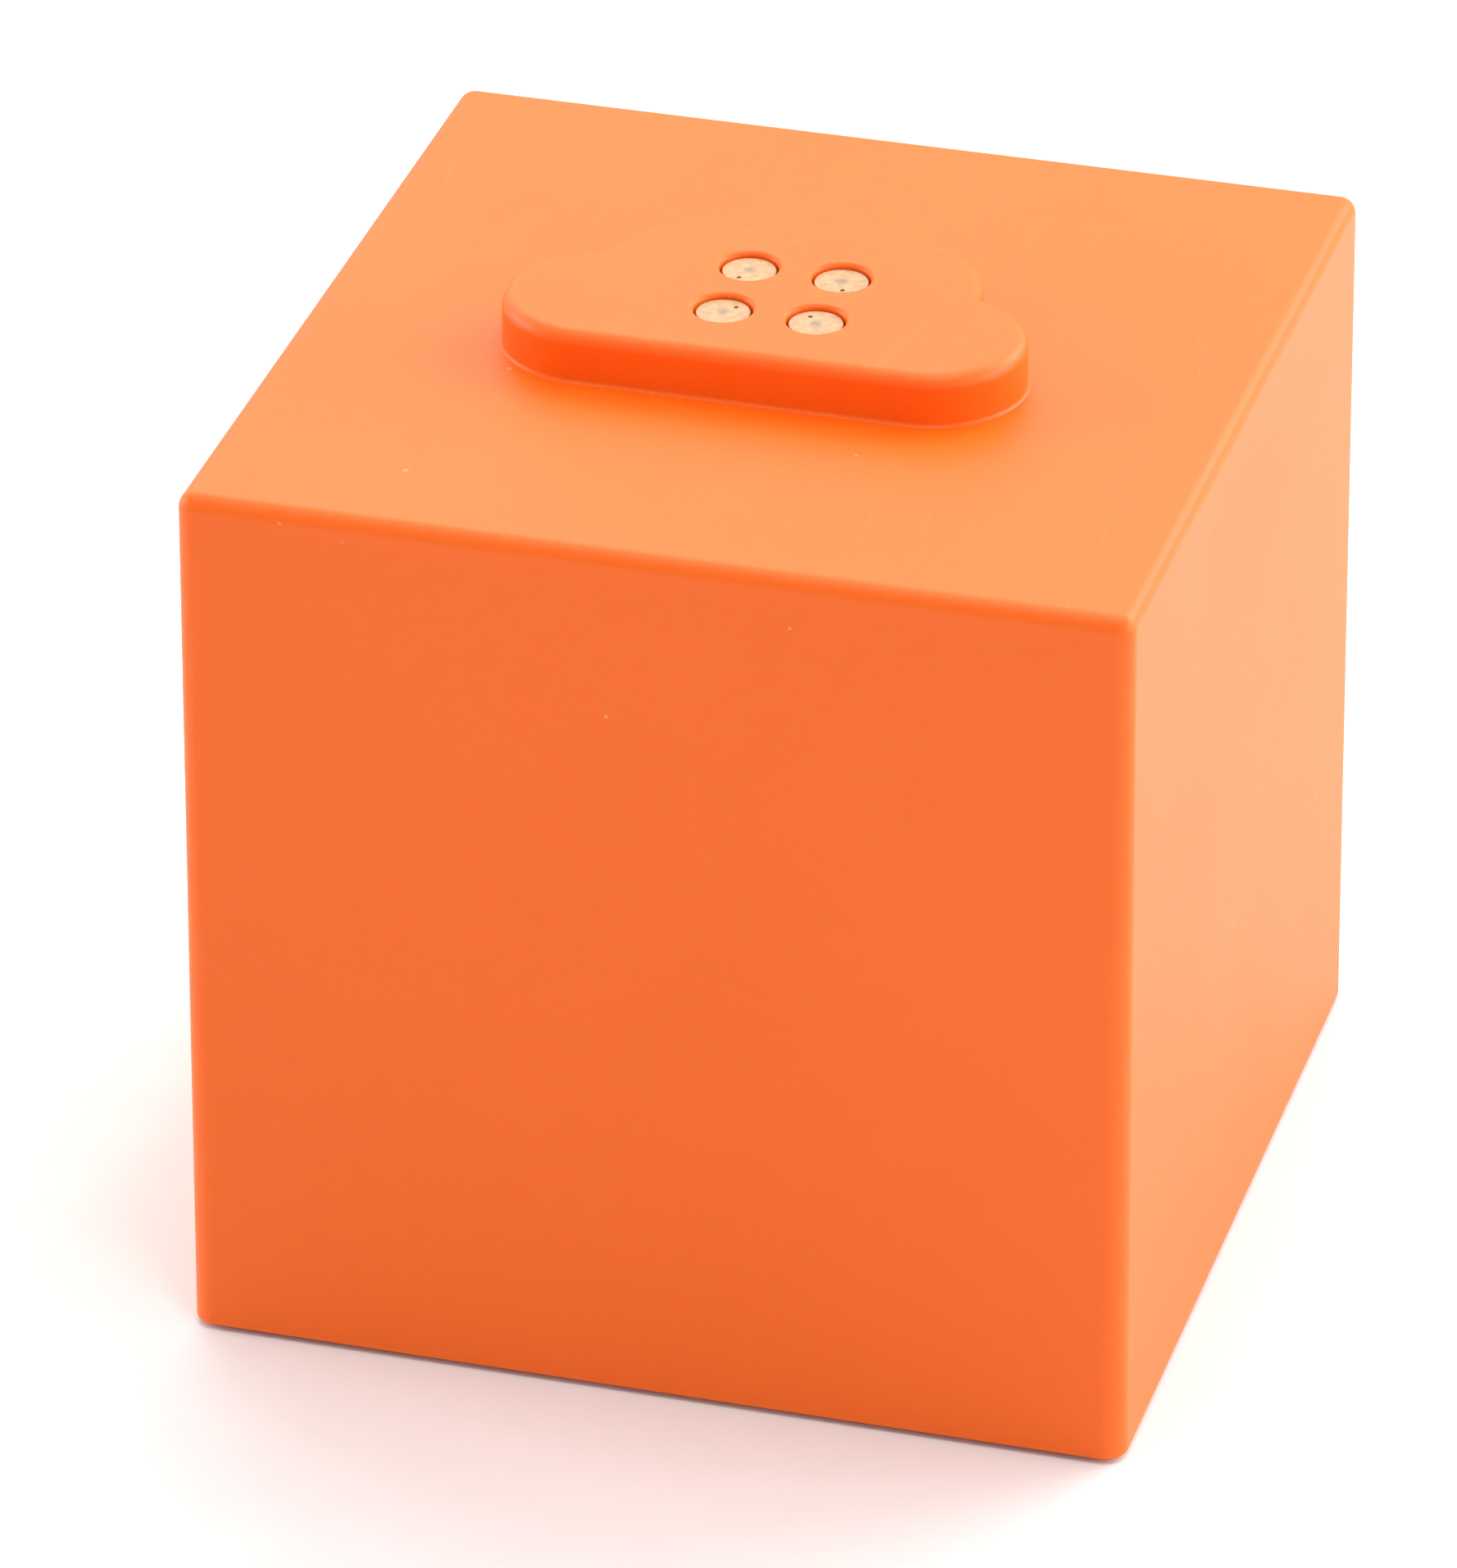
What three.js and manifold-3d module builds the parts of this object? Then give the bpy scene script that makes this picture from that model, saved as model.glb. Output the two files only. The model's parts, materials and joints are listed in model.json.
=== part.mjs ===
// Stackable radio module cube: a drafted housing with a keyed, cloud-shaped stacking boss on top, a base
// with the matching socket, contact studs in the boss, spring pins in the socket, and the boards between.
// Millimetres, +Z up. The origin is the middle of the footprint, on the plane that the feet stand on.
import * as THREE from 'three';
import { mergeVertices } from 'three/addons/utils/BufferGeometryUtils.js';
import Module from 'manifold-3d';

const wasm = await Module();
wasm.setup();

// Driving dimensions
const gap = 0.3; // air between neighbouring pieces
const past = 1; // how far a cutter runs beyond the face that it cuts
const cube = { bottomSide: 68.2, topSide: 67.3, rim: 0.4, top: 66.6, edge: 1.5, wall: 2, innerCorner: 1 };
const boss = { height: 3.8, topFillet: 1, baseFillet: 0.3, notch: 0.6, roof: 2, wall: 2, coreNotch: 1.5 };
const lobes = [ // anticlockwise from the right; the outer two share the straight front edge
  { x: 11.7, y: -3.4, r: 6.7, steps: 9 },
  { x: 4.8, y: 2.7, r: 8.7, steps: 7 },
  { x: -6.46, y: 2.38, r: 7.5, steps: 6 },
  { x: -12.45, y: -3.4, r: 6.7, steps: 10 },
];
const contact = { pitch: 6.7, radius: 1.93, recess: 0.35, hole: 2.2, mouth: 2.45 };
const stud = { head: 1.95, flange: 0.8, flangeRadius: 2.5, shaft: 1.2, tail: 0.45, tailPast: 0.8 };
const base = { bottom: 0.6, top: 2.8, side: 63.4, corner: 0.8 };
const socket = { clearance: 0.35, ceiling: 4.3, top: 5.9, wall: 1.6, notch: 1.5 };
const foot = { radius: 4.5, height: 1.4, inset: 26, chamfer: 0.3 };
const baseScrew = { x: 15, y: 27, head: 2.3, headHeight: 1.6, shank: 1.25, length: 8.8, seat: 3 };
const screwTower = { radius: 4, top: 4.6 };
const screwPost = { radius: 3.4, top: 16, holeTop: 13, web: 1.6 };
const boardScrew = { x: 10, y: -1, head: 1.8, headHeight: 1.3, shank: 0.7, length: 5 };
const boardPost = { radius: 2.5, hole: 1, holeDepth: 3.8 };
const linkBoard = { halfX: 14, front: -7, back: 9.5, thickness: 1.6, tailHole: 0.75, screwHole: 1.1 };
const lowerBoard = 10.7; // underside of the board on the socket
const upperBoard = 62.4; // underside of the board below the boss
const mainBoard = { halfX: 29.6, front: 12, thickness: 1.6, bottom: 12.3, top: 61.3 };
const rail = { inner: 28.4, outer: 32.6, rib: 1.2, bottom: 8, stop: 1.4 };
const boardRest = { inner: 20, outer: 24 };
const barrel = { radius: 1.5, bore: 1.15, lip: 0.95, bottom: 4.6, lipHeight: 0.5, endWall: 0.8 };
const plunger = { tip: 0.65, collar: 0.85, bottom: 2.6, collarHeight: 1 };
const spring = { coil: 0.72, wire: 0.12, turns: 4, stepsPerTurn: 10, sides: 5 };
const header = { pins: 4, pitch: 2.54, pin: 0.64, halfX: 5.4, front: 6.2, back: 9, height: 2.6, pinHeight: 2 };
const pinRow = { y: 7.6, below: 2.1, end: 14.1, hole: 0.75 };
const radioModule = { x: -14, z: 36, width: 20, height: 26, thickness: 0.8 };
const shieldCan = { width: 16, height: 17, depth: 2.6, wall: 0.4, z: 33.5 };
const antenna = { radius: 0.5, sides: 6, steps: 44, left: -14, right: 21, out: 2.7, start: 44.6, top: 54.6, end: 30 };
const controller = { x: 9, z: 40, side: 10, thickness: 1.4, leads: 6 };
const memory = { x: 9, z: 27, width: 5, height: 4, thickness: 1.5, leads: 4 };
const regulator = { x: -20, z: 17.5, width: 6.5, height: 3.5, thickness: 1.6 };
const crystal = { x: -1.5, z: 40, width: 4.4, height: 10.6, thickness: 3.2 };
const inductor = { x: -9.5, z: 18, side: 6.4, height: 3, coreRadius: 2.4, coreHeight: 3.6 };
const capacitor = { xs: [10, 18.5], z: 17.5, radius: 3.15, base: 6.6, baseHeight: 1, height: 5.8 };

const bossTop = cube.top + boss.height;
const cavityTop = cube.top - cube.wall;
const coreTop = bossTop - boss.roof;
const discTop = bossTop - contact.recess;
const mainFront = mainBoard.front;
const mainBack = mainBoard.front + mainBoard.thickness;
const barrelTop = lowerBoard - gap;
const degrees = Math.PI / 180;
const quadrants = [[-1, -1], [1, -1], [1, 1], [-1, 1]];
const contactPlaces = quadrants.map(([sx, sy]) => [(sx * contact.pitch) / 2, (sy * contact.pitch) / 2]);
const pinPlaces = Array.from({ length: header.pins }, (_, i) => (i - (header.pins - 1) / 2) * header.pitch);
const sideAt = (z) => THREE.MathUtils.mapLinear(z, cube.rim, cube.top, cube.bottomSide, cube.topSide);

// Solids: closed meshes that can be joined and cut
function toSolid(geometry) {
  geometry.deleteAttribute('normal');
  geometry.deleteAttribute('uv');
  const merged = mergeVertices(geometry);
  const corners = merged.index.array;
  const triVerts = [];
  for (let i = 0; i < corners.length; i += 3) {
    const [a, b, c] = corners.slice(i, i + 3);
    if (a !== b && b !== c && c !== a) triVerts.push(a, b, c); // a pole leaves empty triangles
  }
  return new wasm.Manifold(new wasm.Mesh({
    numProp: 3,
    vertProperties: merged.attributes.position.array,
    triVerts: new Uint32Array(triVerts),
  }));
}

function toGeometry(solid) {
  const mesh = solid.getMesh();
  const geometry = new THREE.BufferGeometry();
  geometry.setAttribute('position', new THREE.BufferAttribute(mesh.vertProperties, 3));
  geometry.setIndex(new THREE.BufferAttribute(mesh.triVerts, 1));
  geometry.computeVertexNormals();
  return geometry;
}

const join = (...solids) => solids.flat().reduce((all, solid) => all.add(solid));
const cut = (solid, ...tools) => tools.flat().reduce((rest, tool) => rest.subtract(tool), solid);

function box([x0, x1], [y0, y1], [z0, z1]) {
  const geometry = new THREE.BoxGeometry(x1 - x0, y1 - y0, z1 - z0);
  return toSolid(geometry.translate((x0 + x1) / 2, (y0 + y1) / 2, (z0 + z1) / 2));
}

// A slab lying on z0, centred on the axis
function slab(width, depth, z0, z1) {
  return box([-width / 2, width / 2], [-depth / 2, depth / 2], [z0, z1]);
}

// A round bar along Z
function rod(radius, z0, z1, [x, y] = [0, 0], sides = 14) {
  const geometry = new THREE.CylinderGeometry(radius, radius, z1 - z0, sides).rotateX(Math.PI / 2);
  return toSolid(geometry.translate(x, y, (z0 + z1) / 2));
}

// A piece turned about Z from [radius, z] pairs that start and end on the axis
function turned(profile, sides = 14) {
  const points = profile.map(([radius, z]) => new THREE.Vector2(radius, z));
  return toSolid(new THREE.LatheGeometry(points, sides).rotateX(Math.PI / 2));
}

// Walls between outlines of equal length stacked up Z, closed by a flat face at each end
function loft(levels) {
  const count = levels[0].outline.length;
  const positions = levels.flatMap(({ z, outline }) => outline.flatMap((p) => [p.x, p.y, z]));
  const index = [];
  for (let level = 0; level + 1 < levels.length; level += 1) {
    for (let i = 0; i < count; i += 1) {
      const a = level * count + i;
      const b = level * count + ((i + 1) % count);
      index.push(a, b, b + count, a, b + count, a + count);
    }
  }
  const top = levels.at(-1).outline;
  const topStart = (levels.length - 1) * count;
  THREE.ShapeUtils.triangulateShape(levels[0].outline, []).forEach(([a, b, c]) => index.push(a, c, b));
  THREE.ShapeUtils.triangulateShape(top, []).forEach((face) => index.push(...face.map((i) => topStart + i)));
  const geometry = new THREE.BufferGeometry();
  geometry.setAttribute('position', new THREE.Float32BufferAttribute(positions, 3));
  geometry.setIndex(index);
  return toSolid(geometry);
}

// A closed tube of a round section along a curve
function wire(curve, radius, steps, sides) {
  const section = new THREE.Shape(arc(0, 0, radius, 0, 360, sides).slice(0, -1));
  return toSolid(new THREE.ExtrudeGeometry(section, { steps, extrudePath: curve, bevelEnabled: false }));
}

// Outlines: anticlockwise lists of points
function arc(x, y, radius, from, to, steps) {
  return Array.from({ length: steps + 1 }, (_, i) => {
    const angle = (from + ((to - from) * i) / steps) * degrees;
    return new THREE.Vector2(x + radius * Math.cos(angle), y + radius * Math.sin(angle));
  });
}

function roundedSquare(side, radius, steps) {
  const centre = side / 2 - radius;
  return quadrants.flatMap(([sx, sy], i) => {
    const from = 180 + 90 * i;
    return arc(sx * centre, sy * centre, radius, from, from + 90, steps);
  });
}

// The small circle that fills the notch between two lobes and touches both from outside
function notchBetween(a, b, radius) {
  const [ra, rb] = [a.r + radius, b.r + radius];
  const [dx, dy] = [b.x - a.x, b.y - a.y];
  const distance = Math.hypot(dx, dy);
  const along = (ra * ra - rb * rb + distance * distance) / (2 * distance);
  const out = Math.sqrt(ra * ra - along * along);
  return { x: a.x + (along * dx + out * dy) / distance, y: a.y + (along * dy - out * dx) / distance };
}

// The boss outline moved outwards by grow: lobes grow by it, and the notches tighten unless a radius is given
function cloud(grow, notch = boss.notch - grow) {
  const towards = (a, b) => Math.atan2(b.y - a.y, b.x - a.x) / degrees;
  const grown = lobes.map((lobe) => ({ ...lobe, r: lobe.r + grow }));
  const points = [];
  let from = -90;
  grown.forEach((lobe, i) => {
    const next = grown[i + 1];
    if (!next) {
      points.push(...arc(lobe.x, lobe.y, lobe.r, from, 270, lobe.steps));
      return;
    }
    const fillet = notchBetween(lobe, next, notch);
    const to = towards(lobe, fillet);
    points.push(...arc(lobe.x, lobe.y, lobe.r, from, to, lobe.steps));
    const start = towards(fillet, lobe);
    const end = towards(fillet, next);
    points.push(...arc(fillet.x, fillet.y, notch, start, end > start ? end - 360 : end, 3).slice(1, -1));
    from = towards(next, fillet);
  });
  return points;
}

// Housing: skin, boss, and what is moulded inside
function skin() {
  const shoulder = cube.top - cube.edge;
  const levels = [{ z: cube.rim, outline: roundedSquare(sideAt(cube.rim), cube.edge, 5) }];
  arc(0, 0, cube.edge, 0, 90, 4).forEach((point) => {
    const inset = cube.edge - point.x;
    const corner = cube.edge - 0.9 * inset; // never quite a point, so that the corner keeps its facets
    levels.push({ z: shoulder + point.y, outline: roundedSquare(sideAt(shoulder) - 2 * inset, corner, 5) });
  });
  return loft(levels);
}

function cavity() {
  const outlineAt = (z) => roundedSquare(sideAt(z) - 2 * cube.wall, cube.innerCorner, 2);
  const floor = cube.rim - past;
  return loft([{ z: floor, outline: outlineAt(floor) }, { z: cavityTop, outline: outlineAt(cavityTop) }]);
}

function stackingBoss() {
  const foot0 = cloud(boss.baseFillet, boss.baseFillet);
  const levels = [
    { z: cube.top - boss.wall / 2, outline: foot0 },
    { z: cube.top, outline: foot0 },
    { z: cube.top + boss.baseFillet, outline: cloud(0) },
  ];
  arc(0, 0, boss.topFillet, 0, 90, 4).forEach((point) => {
    levels.push({ z: bossTop - boss.topFillet + point.y, outline: cloud(point.x - boss.topFillet) });
  });
  return loft(levels);
}

function bossCore() {
  const outline = cloud(-boss.wall, boss.coreNotch);
  return loft([{ z: cavityTop - past, outline }, { z: coreTop, outline }]);
}

function contactHole([x, y]) {
  const profile = [[0, coreTop - past], [contact.hole, coreTop - past], [contact.hole, bossTop + contact.hole - contact.mouth],
    [contact.mouth, bossTop], [contact.mouth, bossTop + past], [0, bossTop + past]];
  return turned(profile, 20).translate(x, y, 0);
}

function screwPostPair(side) {
  return [-1, 1].map((sx) => {
    const [x, y] = [sx * baseScrew.x, side * baseScrew.y];
    const wall = side * (baseScrew.y + cube.wall + screwPost.radius);
    const web = box([x - screwPost.web / 2, x + screwPost.web / 2], [Math.min(y, wall), Math.max(y, wall)],
      [screwTower.top + gap, screwPost.top]);
    return join(rod(screwPost.radius, screwTower.top + gap, screwPost.top, [x, y]), web);
  });
}

function boardRails(side) {
  const span = [rail.inner, rail.outer].map((x) => side * x).sort((a, b) => a - b);
  const front = [mainFront - gap - rail.rib, mainFront - gap];
  const back = [mainBack + gap, mainBack + gap + rail.rib];
  const stopBottom = mainBoard.top + gap;
  const height = [rail.bottom, stopBottom + rail.stop];
  return join(box(span, front, height), box(span, back, height),
    box(span, [front[0], back[1]], [stopBottom, stopBottom + rail.stop]));
}

function housing() {
  const shell = cut(join(skin(), stackingBoss()), cavity(), bossCore(), contactPlaces.map(contactHole));
  const boardPosts = [-1, 1].map((sx) => rod(boardPost.radius, upperBoard + linkBoard.thickness + gap,
    coreTop + gap, [sx * boardScrew.x, boardScrew.y]));
  const inside = [screwPostPair(-1), screwPostPair(1), boardRails(-1), boardRails(1), boardPosts];
  const postHoles = quadrants.map(([sx, sy]) => rod(baseScrew.shank + gap, screwTower.top, screwPost.holeTop,
    [sx * baseScrew.x, sy * baseScrew.y], 10));
  const boardHoles = [-1, 1].map((sx) => rod(boardPost.hole, upperBoard, upperBoard + linkBoard.thickness
    + boardPost.holeDepth, [sx * boardScrew.x, boardScrew.y], 8));
  return cut(join(shell, inside.flat()), postHoles, boardHoles);
}

// Base: plate, socket cup, screw towers, and what stands on them
function basePlate() {
  const plate = roundedSquare(base.side, base.corner, 2);
  const cup = cloud(socket.clearance + socket.wall, socket.notch);
  const recess = cloud(socket.clearance);
  const towers = quadrants.map(([sx, sy]) => rod(screwTower.radius, base.bottom + gap, screwTower.top,
    [sx * baseScrew.x, sy * baseScrew.y]));
  const posts = [-1, 1].map((sx) => rod(boardPost.radius, socket.top - gap, lowerBoard - gap,
    [sx * boardScrew.x, boardScrew.y]));
  const rests = [-1, 1].map((sx) => box([sx * boardRest.inner, sx * boardRest.outer].sort((a, b) => a - b),
    [mainFront, mainBack], [base.top - gap, mainBoard.bottom - gap]));
  const body = join(loft([{ z: base.bottom, outline: plate }, { z: base.top, outline: plate }]),
    loft([{ z: base.bottom + gap, outline: cup }, { z: socket.top, outline: cup }]), towers, posts, rests);
  const mouth = base.bottom - past;
  return cut(body,
    loft([{ z: mouth, outline: recess }, { z: socket.ceiling, outline: recess }]),
    contactPlaces.map((place) => rod(barrel.radius + gap, socket.ceiling - past, socket.top + past, place)),
    quadrants.map(([sx, sy]) => baseScrewHole([sx * baseScrew.x, sy * baseScrew.y], mouth)),
    quadrants.map(([sx, sy]) => rod(foot.radius + gap, mouth, foot.height + gap, [sx * foot.inset, sy * foot.inset], 20)),
    [-1, 1].map((sx) => rod(boardPost.hole, lowerBoard - gap - boardPost.holeDepth, lowerBoard,
      [sx * boardScrew.x, boardScrew.y], 8)));
}

function baseScrewHole(place, mouth) {
  return join(rod(baseScrew.head + gap, mouth, baseScrew.seat, place, 18),
    rod(baseScrew.shank + gap, mouth, screwTower.top + past, place, 10));
}

function rubberFoot() {
  return turned([[0, 0], [foot.radius - foot.chamfer, 0], [foot.radius, foot.chamfer], [foot.radius, foot.height],
    [0, foot.height]], 20);
}

// A pan-head screw: the shank points up from z = 0 and the cross recess is underneath
function screw({ head, headHeight, shank, length }) {
  const body = turned([[0, -headHeight], [head * 0.6, -headHeight], [head, -headHeight * 0.55], [head, 0], [shank, 0],
    [shank, length - shank], [shank * 0.3, length], [0, length]], 12);
  const blade = [head * 1.15, head * 0.28];
  const floor = [-headHeight - past, -headHeight * 0.45];
  return cut(body, slab(blade[0], blade[1], ...floor), slab(blade[1], blade[0], ...floor));
}

// A contact stud hangs from its disc, whose face is z = 0
function contactStud() {
  const flangeTop = -stud.head;
  const flangeBottom = flangeTop - stud.flange;
  const shaftEnd = upperBoard + linkBoard.thickness + gap - discTop;
  const tailEnd = upperBoard - stud.tailPast - discTop;
  return turned([[0, tailEnd], [stud.tail, tailEnd], [stud.tail, shaftEnd], [stud.shaft, shaftEnd],
    [stud.shaft, flangeBottom], [stud.flangeRadius, flangeBottom], [stud.flangeRadius, flangeTop],
    [contact.radius, flangeTop], [contact.radius, 0], [0, 0]], 18);
}

// Spring pins: a barrel closed at the top, a plunger that slides up into it, and the spring behind
function pinBarrel() {
  const tailTop = lowerBoard + linkBoard.thickness + stud.tailPast;
  const boreTop = barrelTop - barrel.endWall;
  const lipTop = barrel.bottom + barrel.lipHeight;
  return turned([[0, boreTop], [barrel.bore, boreTop], [barrel.bore, lipTop], [barrel.lip, lipTop],
    [barrel.lip, barrel.bottom], [barrel.radius, barrel.bottom], [barrel.radius, barrelTop], [stud.tail, barrelTop],
    [stud.tail, tailTop], [0, tailTop]]);
}

function pinPlunger() {
  const collar = barrel.bottom + barrel.lipHeight + gap;
  const tip = arc(0, plunger.bottom + plunger.tip, plunger.tip, -90, 0, 3).map((p) => [p.x, p.y]);
  return turned([...tip, [plunger.tip, collar], [plunger.collar, collar], [plunger.collar, collar + plunger.collarHeight],
    [0, collar + plunger.collarHeight]], 12);
}

class Helix extends THREE.Curve {
  constructor(bottom, top) {
    super();
    this.bottom = bottom;
    this.top = top;
  }

  getPoint(t, target = new THREE.Vector3()) {
    const angle = t * spring.turns * 2 * Math.PI;
    const z = THREE.MathUtils.lerp(this.bottom, this.top, t);
    return target.set(spring.coil * Math.cos(angle), spring.coil * Math.sin(angle), z);
  }
}

function pinSpring() {
  const low = barrel.bottom + barrel.lipHeight + plunger.collarHeight + 2 * gap + spring.wire;
  const high = barrelTop - barrel.endWall - gap - spring.wire;
  return wire(new Helix(low, high), spring.wire, spring.turns * spring.stepsPerTurn, spring.sides);
}

// Boards and the headers that join them
function linkBoardPanel() {
  const panel = box([-linkBoard.halfX, linkBoard.halfX], [linkBoard.front, linkBoard.back], [0, linkBoard.thickness]);
  const bore = (radius, place) => rod(radius, -past, linkBoard.thickness + past, place, 8);
  return cut(panel, contactPlaces.map((place) => bore(linkBoard.tailHole, place)),
    [-1, 1].map((sx) => bore(linkBoard.screwHole, [sx * boardScrew.x, boardScrew.y])),
    pinPlaces.map((x) => bore(pinRow.hole, [x, pinRow.y])));
}

// A right-angled pin header standing on a board whose face is z = 0
function linkHeader() {
  const body = box([-header.halfX, header.halfX], [header.front, header.back], [gap, gap + header.height]);
  const half = header.pin / 2;
  const pins = pinPlaces.map((x) => join(
    box([x - half, x + half], [pinRow.y - half, pinRow.y + half], [-pinRow.below, header.pinHeight]),
    box([x - half, x + half], [pinRow.y, pinRow.end], [header.pinHeight - half, header.pinHeight + half]),
  ));
  return join(body, pins);
}

// The main board lies in the plane of its own face: x across, y up, z out of the face
function mainBoardPanel() {
  const panel = box([-mainBoard.halfX, mainBoard.halfX], [mainBoard.bottom, mainBoard.top], [-mainBoard.thickness, 0]);
  const rows = [lowerBoard + linkBoard.thickness + header.pinHeight, upperBoard - header.pinHeight];
  return cut(panel, rows.flatMap((y) => pinPlaces.map((x) => rod(pinRow.hole, -mainBoard.thickness - past, past, [x, y], 8))));
}

// What stands on the main board, from z = 0 outwards
function shieldCanShell() {
  const { width, height, depth, wall } = shieldCan;
  return cut(slab(width, height, 0, depth), slab(width - 2 * wall, height - 2 * wall, -past, depth - wall));
}

// A chip body with gull-wing leads along the sides that the list of turns names
function chip({ width, height, thickness, leads }, turns) {
  const body = slab(width, height, 0.15, thickness);
  const pitch = (height - 1) / leads;
  const reach = width / 2 + 0.9;
  const lead = (i) => {
    const y = (i - (leads - 1) / 2) * pitch;
    return box([width / 2 - 0.3, reach], [y - 0.25, y + 0.25], [0, 0.35]);
  };
  const row = Array.from({ length: leads }, (_, i) => lead(i));
  return join(body, turns.map((turn) => join(row).rotate([0, 0, turn])));
}

function regulatorChip() {
  const { width, height, thickness } = regulator;
  const tab = box([-1.6, 1.6], [height / 2 - 0.3, height / 2 + 1.6], [0, 0.4]);
  const leads = [-2.3, 0, 2.3].map((x) => box([x - 0.4, x + 0.4], [-height / 2 - 1.6, 0.3 - height / 2], [0, 0.4]));
  return join(slab(width, height, 0.1, thickness), tab, leads);
}

function crystalCan() {
  const { width, height, thickness } = crystal;
  const outline = roundedSquare(width, width / 2 - 0.1, 4);
  const stretch = (height - width) / 2;
  const can = outline.map((p) => new THREE.Vector2(p.x, p.y + Math.sign(p.y) * stretch));
  return join(loft([{ z: 0.6, outline: can }, { z: thickness, outline: can }]), slab(width + 0.6, height + 0.6, 0, 0.8));
}

function powerInductor() {
  const outline = roundedSquare(inductor.side, 1.2, 1);
  const frame = loft([{ z: 0, outline }, { z: inductor.height, outline }]);
  return join(frame, rod(inductor.coreRadius, inductor.height - gap, inductor.coreHeight));
}

function smoothingCapacitor() {
  const { radius, height, baseHeight } = capacitor;
  const can = turned([[0, baseHeight / 2], [radius, baseHeight / 2], [radius, height - 0.4], [radius - 0.4, height],
    [0, height]], 16);
  return join(slab(capacitor.base, capacitor.base, 0, baseHeight), can);
}

function antennaWire() {
  const { left, right, out, start, top, end } = antenna;
  const bend = 3;
  const points = [[left, start, 1.8], [left, start + 1, out], [left, top - bend, out], [left + bend, top, out],
    [(left + right) / 2, top, out], [right - bend, top, out], [right, top - bend, out], [right, (top + end) / 2, out],
    [right, end, out]];
  const route = new THREE.CatmullRomCurve3(points.map((p) => new THREE.Vector3(...p)), false, 'centripetal');
  return wire(route, antenna.radius, antenna.steps, antenna.sides);
}

// Finishes: colour, roughness, metalness
const finishes = {
  orangeShell: [0xf4773c, 0.45, 0],
  blackRubber: [0x2a2a2b, 0.9, 0],
  goldContact: [0xf2cf9b, 0.35, 0.9],
  goldPin: [0xd9a441, 0.3, 1],
  springSteel: [0xb9bcc0, 0.35, 1],
  zincScrew: [0xa9abb0, 0.4, 1],
  greenBoard: [0x1f6b45, 0.5, 0],
  shieldTin: [0xc2c5c8, 0.35, 1],
  copperWire: [0xb5653a, 0.35, 1],
  blackChip: [0x1d1e20, 0.6, 0],
  ferrite: [0x3b3c40, 0.7, 0],
  aluminiumCan: [0xc9ccd0, 0.3, 1],
};

function piece(name, solid, finish, [x, y, z] = [0, 0, 0], turn = [0, 0, 0]) {
  const [color, roughness, metalness] = finishes[finish];
  const mesh = new THREE.Mesh(toGeometry(solid), new THREE.MeshStandardMaterial({ color, roughness, metalness }));
  mesh.name = name;
  mesh.position.set(x, y, z);
  mesh.rotation.set(...turn);
  return mesh;
}

function group(children, [x, y, z] = [0, 0, 0], turnX = 0) {
  const holder = new THREE.Group();
  holder.position.set(x, y, z);
  holder.rotation.x = turnX;
  holder.add(...children);
  return holder;
}

function copies(name, solid, finish, places) {
  return places.map((place, i) => piece(`${name}_${i + 1}`, solid, finish, place));
}

const cornerPlaces = (x, y, z) => quadrants.map(([sx, sy]) => [sx * x, sy * y, z]);
const contactsAt = (z) => contactPlaces.map(([x, y]) => [x, y, z]);

const shell = group([piece('housing', housing(), 'orangeShell')]);

const upperContacts = group([
  ...copies('top_contact', contactStud(), 'goldContact', contactsAt(discTop)),
  piece('top_contact_board', linkBoardPanel(), 'greenBoard', [0, 0, upperBoard]),
  ...copies('top_board_screw', screw(boardScrew), 'zincScrew',
    [-1, 1].map((sx) => [sx * boardScrew.x, boardScrew.y, upperBoard - gap])),
  piece('upper_link_header', linkHeader(), 'blackChip', [0, 0, upperBoard], [0, Math.PI, 0]),
]);

const baseAssembly = group([
  piece('base_plate', basePlate(), 'orangeShell'),
  ...copies('rubber_foot', rubberFoot(), 'blackRubber', cornerPlaces(foot.inset, foot.inset, 0)),
  ...copies('base_screw', screw(baseScrew), 'zincScrew', cornerPlaces(baseScrew.x, baseScrew.y, baseScrew.seat - gap)),
]);

const lowerFace = lowerBoard + linkBoard.thickness;
const lowerContacts = group([
  ...copies('spring_pin_barrel', pinBarrel(), 'goldPin', contactsAt(0)),
  ...copies('spring_pin_plunger', pinPlunger(), 'goldPin', contactsAt(0)),
  ...copies('spring_pin_spring', pinSpring(), 'springSteel', contactsAt(0)),
  piece('bottom_contact_board', linkBoardPanel(), 'greenBoard', [0, 0, lowerBoard]),
  piece('lower_link_header', linkHeader(), 'blackChip', [0, 0, lowerFace]),
  ...[-1, 1].map((sx, i) => piece(`bottom_board_screw_${i + 1}`, screw(boardScrew), 'zincScrew',
    [sx * boardScrew.x, boardScrew.y, lowerFace + gap], [Math.PI, 0, 0])),
]);

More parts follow.
